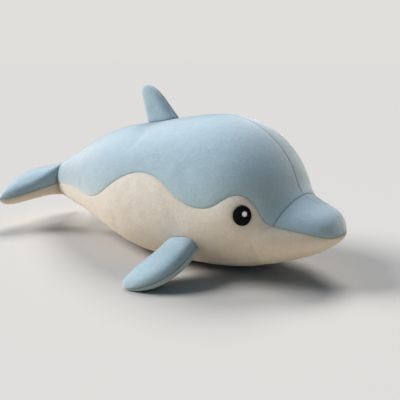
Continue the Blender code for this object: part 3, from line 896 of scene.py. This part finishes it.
def make_glint(tree, place, word, group, thread):
    """Satin stitches laid on the eye's felt."""
    data = satin_mesh("glint_" + word, group, (GLINT_WIDTH, GLINT_HEIGHT), thread)
    for vertex in data.vertices:
        x, y, z = vertex.co
        felt = laid_on(tree, place, x + GLINT_FORWARD, y + GLINT_UP)
        vertex.co = felt + Vector(place[3] * (z + GLINT_RISE))
    mesh = bmesh.new()
    mesh.from_mesh(data)
    bmesh.ops.recalc_face_normals(mesh, faces=mesh.faces)
    mesh.to_mesh(data)
    mesh.free()
    data.materials.clear()
    data.shade_smooth()
    item = put_in_scene("eye_glint_" + word + "_thread", data)
    settle(item, "eye_glint_" + word, thread)


def make_eyes(tree, felt, thread):
    stitches = satin_group()
    for word, place in EYES.items():
        item = ring_mesh("eye_" + word + "_felt", eye_rows(tree, place))
        settle(item, "eye_" + word, felt)
        make_glint(mesh_tree(item.data), place, word, stitches, thread)


# ---- Stuffing ----
STUFFING_NODES = ("body_stuffing", "dorsal_fin_stuffing", "fluke_stuffing",
                  "flipper_stuffing_left", "flipper_stuffing_right")
STUFFING_DEPTH, STUFFING_LUMPS, STUFFING_LUMP_SCALE = 0.0024, 0.0004, 90.0


def make_stuffing(fibre):
    """Loose fibre is lumpy, and it stays within the room that its solid has."""
    for node in STUFFING_NODES:
        mesh = bmesh.new()
        mesh.from_mesh(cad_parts[node].data)
        bmesh.ops.remove_doubles(mesh, verts=mesh.verts, dist=WELD)
        bmesh.ops.recalc_face_normals(mesh, faces=mesh.faces)
        mesh.normal_update()
        for vertex in mesh.verts:
            lump = STUFFING_LUMPS * noise.noise(vertex.co * STUFFING_LUMP_SCALE)
            vertex.co -= vertex.normal * (STUFFING_DEPTH + lump)
        data = bpy.data.meshes.new(node + "_fill")
        mesh.to_mesh(data)
        mesh.free()
        data.shade_smooth()
        settle(put_in_scene(node + "_fill", data), node, fibre)


# ---- Materials ----
PATCH_SCALE, LUMP_SCALE, LUMP_SHARE = 130.0, 220.0, 0.7
PILE_BRUSHED = (0.45, 1.0, 0.8)
PILE_ROUGHNESS, GRAIN_ROUGHNESS = 0.88, 0.8
# The painted crevice shade at its darkest goes this far towards the shade colour.
SEAM_SHADE = 0.75


def add(tree, kind, **settings):
    node = tree.nodes.new(kind)
    for key, value in settings.items():
        setattr(node, key, value)
    return node


def put(node, **values):
    for key, value in values.items():
        node.inputs[key.replace("_", " ")].default_value = value


def noise_of(tree, source, scale, detail, rough=0.55):
    node = add(tree, "ShaderNodeTexNoise")
    put(node, Scale=scale, Detail=detail, Roughness=rough)
    tree.links.new(source, node.inputs["Vector"])
    return node.outputs["Fac"]


def maths(tree, operation, *values):
    node = add(tree, "ShaderNodeMath", operation=operation)
    for i, value in enumerate(values):
        if isinstance(value, (int, float)):
            node.inputs[i].default_value = value
        else:
            tree.links.new(value, node.inputs[i])
    return node.outputs[0]


def pile_group():
    """Short pile: fine grain, brushed patches and shade painted at the seams, as colour, roughness and
    normal.
    """
    tree = bpy.data.node_groups.new("plush_pile", "ShaderNodeTree")
    face = tree.interface
    for name, kind, value in (
        ("Colour", "NodeSocketColor", (0.5, 0.5, 0.5, 1.0)),
        ("Shade", "NodeSocketColor", (0.2, 0.2, 0.2, 1.0)),
        ("Grain Scale", "NodeSocketFloat", 800.0),
        ("Patch Scale", "NodeSocketFloat", PATCH_SCALE),
        ("Grain", "NodeSocketFloat", 0.40),
        ("Patches", "NodeSocketFloat", 0.22),
        ("Pile Height", "NodeSocketFloat", 0.0007),
        ("Seam", "NodeSocketFloat", 0.0),
    ):
        socket = face.new_socket(name=name, in_out="INPUT", socket_type=kind)
        socket.default_value = value
    for name, kind in (
        ("Colour", "NodeSocketColor"),
        ("Roughness", "NodeSocketFloat"),
        ("Normal", "NodeSocketVector"),
    ):
        face.new_socket(name=name, in_out="OUTPUT", socket_type=kind)
    given = add(tree, "NodeGroupInput").outputs
    place = add(tree, "ShaderNodeTexCoord").outputs["Object"]

    brushed = add(tree, "ShaderNodeVectorMath", operation="MULTIPLY")
    tree.links.new(place, brushed.inputs[0])
    brushed.inputs[1].default_value = PILE_BRUSHED
    grain = add(tree, "ShaderNodeTexNoise")
    put(grain, Detail=4.0, Roughness=0.7)
    tree.links.new(brushed.outputs[0], grain.inputs["Vector"])
    tree.links.new(given["Grain Scale"], grain.inputs["Scale"])
    patch = add(tree, "ShaderNodeTexNoise")
    put(patch, Detail=4.0, Roughness=0.6, Distortion=0.6)
    tree.links.new(place, patch.inputs["Vector"])
    tree.links.new(given["Patch Scale"], patch.inputs["Scale"])

    fine = maths(tree, "MULTIPLY", maths(tree, "SUBTRACT", grain.outputs["Fac"], 0.5), given["Grain"])
    wide = maths(tree, "MULTIPLY", maths(tree, "SUBTRACT", patch.outputs["Fac"], 0.5), given["Patches"])
    level = maths(tree, "ADD", maths(tree, "ADD", fine, wide), 1.0)
    tinted = add(tree, "ShaderNodeVectorMath", operation="SCALE")
    tree.links.new(given["Colour"], tinted.inputs[0])
    tree.links.new(level, tinted.inputs["Scale"])
    # Painted shade: towards the seams and the mouth crease the colour goes over to Shade, for the shade
    # that falls in their crevices.
    mix = add(tree, "ShaderNodeMix", data_type="RGBA")
    tree.links.new(maths(tree, "MULTIPLY", given["Seam"], SEAM_SHADE), mix.inputs["Factor"])
    tree.links.new(tinted.outputs[0], mix.inputs["A"])
    tree.links.new(given["Shade"], mix.inputs["B"])

    lumps = noise_of(tree, place, LUMP_SCALE, 3.0)
    height = maths(tree, "ADD", grain.outputs["Fac"], maths(tree, "MULTIPLY", lumps, LUMP_SHARE))
    bump = add(tree, "ShaderNodeBump")
    put(bump, Strength=0.6)
    tree.links.new(given["Pile Height"], bump.inputs["Distance"])
    tree.links.new(height, bump.inputs["Height"])

    result = add(tree, "NodeGroupOutput")
    tree.links.new(mix.outputs["Result"], result.inputs["Colour"])
    rough = maths(tree, "ADD", maths(tree, "MULTIPLY", fine, GRAIN_ROUGHNESS), PILE_ROUGHNESS)
    tree.links.new(rough, result.inputs["Roughness"])
    tree.links.new(bump.outputs["Normal"], result.inputs["Normal"])
    return tree


def new_material(name):
    material = bpy.data.materials.new(name)
    material.use_nodes = True
    tree = material.node_tree
    return material, tree, tree.nodes["Principled BSDF"]


def fabric_of(name, group, **values):
    """A material with the pile on it, given with its tree, its shader and the pile's own node."""
    material, tree, shader = new_material(name)
    pile = add(tree, "ShaderNodeGroup", node_tree=group)
    put(pile, **values)
    for output, socket in (("Colour", "Base Color"), ("Roughness", "Roughness"), ("Normal", "Normal")):
        tree.links.new(pile.outputs[output], shader.inputs[socket])
    return material, tree, shader, pile


def plush(name, group, colour, shade, sheen, sheen_tint):
    material, tree, shader, pile = fabric_of(name, group, Colour=colour, Shade=shade)
    # The seam attribute holds the painted shade of the crevices along the seams.
    seam = add(tree, "ShaderNodeAttribute", attribute_name="seam")
    tree.links.new(seam.outputs["Fac"], pile.inputs["Seam"])
    put(shader, Specular_IOR_Level=0.2, Sheen_Weight=sheen, Sheen_Roughness=0.45, Sheen_Tint=sheen_tint)
    return material


def plain_pile(name, group, colour, grain_scale, height, sheen, gloss):
    """A small piece's pile, felt or fibre, that has no seams."""
    material, _, shader, _ = fabric_of(
        name, group, Colour=colour, Grain_Scale=grain_scale, Pile_Height=height, Grain=0.3)
    put(shader, Specular_IOR_Level=gloss, Sheen_Weight=sheen, Sheen_Roughness=0.5)
    return material


def make_fabrics():
    group = pile_group()
    return {
        # Each plush's shade is the colour painted into its seams' crevices as shade.
        "blue": plush("blue_plush_fabric", group, colour=(0.305, 0.415, 0.485, 1.0),
                      shade=(0.12, 0.19, 0.24, 1.0), sheen=0.9, sheen_tint=(1.0, 0.97, 0.94, 1.0)),
        "cream": plush("cream_plush_fabric", group, colour=(0.600, 0.553, 0.503, 1.0),
                       shade=(0.30, 0.23, 0.17, 1.0), sheen=0.4, sheen_tint=(1.0, 0.95, 0.9, 1.0)),
        "felt": plain_pile("black_eye_felt", group, colour=(0.005, 0.005, 0.0055, 1.0),
                           grain_scale=1400.0, height=0.0001, sheen=0.02, gloss=0.06),
        "thread": plain_pile("white_eye_thread", group, colour=(0.80, 0.80, 0.79, 1.0),
                             grain_scale=1800.0, height=0.0001, sheen=0.0, gloss=0.3),
        "fibre": plain_pile("stuffing_fibre_white", group, colour=(0.80, 0.79, 0.76, 1.0),
                            grain_scale=300.0, height=0.0006, sheen=0.1, gloss=0.2),
    }


# ---- Stage ----
FLOOR_HALF = 60.0
# What lights the toy, and what the camera sees, of the floor and of the room.
FLOOR_LIGHT, FLOOR_SEEN = (0.72, 0.59, 0.44, 1.0), (0.490, 0.462, 0.440, 1.0)
ROOM_LIGHT, ROOM_SEEN = (0.025, 0.110, 0.180, 1.0), (0.74, 0.73, 0.71, 1.0)
SOFTNESS = 30.0
LAMPS = (
    ("key", (-0.70, -0.38, 0.60), 4.0, (1.0, 1.0, 1.0)),
    ("back_light", (-0.18, 0.50, 0.85), 2.6, (1.0, 0.98, 0.95)),
)
CAMERA_PLACE = (0.3880, -0.4786, 0.2076)
CAMERA_TURN, CAMERA_DOWN = 35.0, 14.0
CAMERA_LENS, CAMERA_SENSOR = 49.95, 36.0


def seen_or_light(tree, light_colour, seen_colour):
    """One colour for the camera and reflections, and another for the light that is thrown."""
    light = add(tree, "ShaderNodeLightPath")
    mix = add(tree, "ShaderNodeMix", data_type="RGBA")
    seen = maths(tree, "MAXIMUM", light.outputs["Is Camera Ray"], light.outputs["Is Glossy Ray"])
    tree.links.new(seen, mix.inputs["Factor"])
    put(mix, A=light_colour, B=seen_colour)
    return mix.outputs["Result"]


def make_floor():
    data = bpy.data.meshes.new("floor")
    corners = [(x * FLOOR_HALF, y * FLOOR_HALF, 0.0) for x, y in ((-1, -1), (1, -1), (1, 1), (-1, 1))]
    data.from_pydata(corners, [], [(0, 1, 2, 3)])
    put_in_scene("floor", data)
    material, tree, shader = new_material("pale_floor")
    put(shader, Roughness=0.9, Specular_IOR_Level=0.0)
    tree.links.new(seen_or_light(tree, FLOOR_LIGHT, FLOOR_SEEN), shader.inputs["Base Color"])
    data.materials.append(material)


def make_world():
    world = bpy.data.worlds.new("studio")
    bpy.context.scene.world = world
    world.use_nodes = True
    tree = world.node_tree
    colour = seen_or_light(tree, ROOM_LIGHT, ROOM_SEEN)
    tree.links.new(colour, tree.nodes["Background"].inputs["Color"])


def turn_to(item, direction, forward):
    item.rotation_mode = "QUATERNION"
    item.rotation_quaternion = Vector(direction).to_track_quat(forward, "Y")


def make_lamps():
    """Far, soft lamps, each seen from the toy in the direction given."""
    for name, towards, strength, colour in LAMPS:
        data = bpy.data.lights.new(name, "SUN")
        data.energy = strength
        data.angle = math.radians(SOFTNESS)
        data.color = colour
        turn_to(put_in_scene(name, data), towards, "Z")


def make_camera():
    data = bpy.data.cameras.new("camera")
    data.lens = CAMERA_LENS
    data.sensor_width = CAMERA_SENSOR
    item = put_in_scene("camera", data)
    item.location = CAMERA_PLACE
    turn, down = math.radians(CAMERA_TURN), math.radians(CAMERA_DOWN)
    look = (-math.sin(turn) * math.cos(down), math.cos(turn) * math.cos(down), -math.sin(down))
    turn_to(item, look, "-Z")
    bpy.context.scene.camera = item


def main():
    cloths = make_fabrics()
    tree = make_body(cloths["blue"], cloths["cream"])
    make_fins(tree, cloths["blue"])
    make_fluke(cloths["blue"], cloths["cream"])
    make_eyes(tree, cloths["felt"], cloths["thread"])
    make_stuffing(cloths["fibre"])
    make_floor()
    make_world()
    make_lamps()
    make_camera()
    bpy.context.scene.view_settings.view_transform = "Standard"


main()
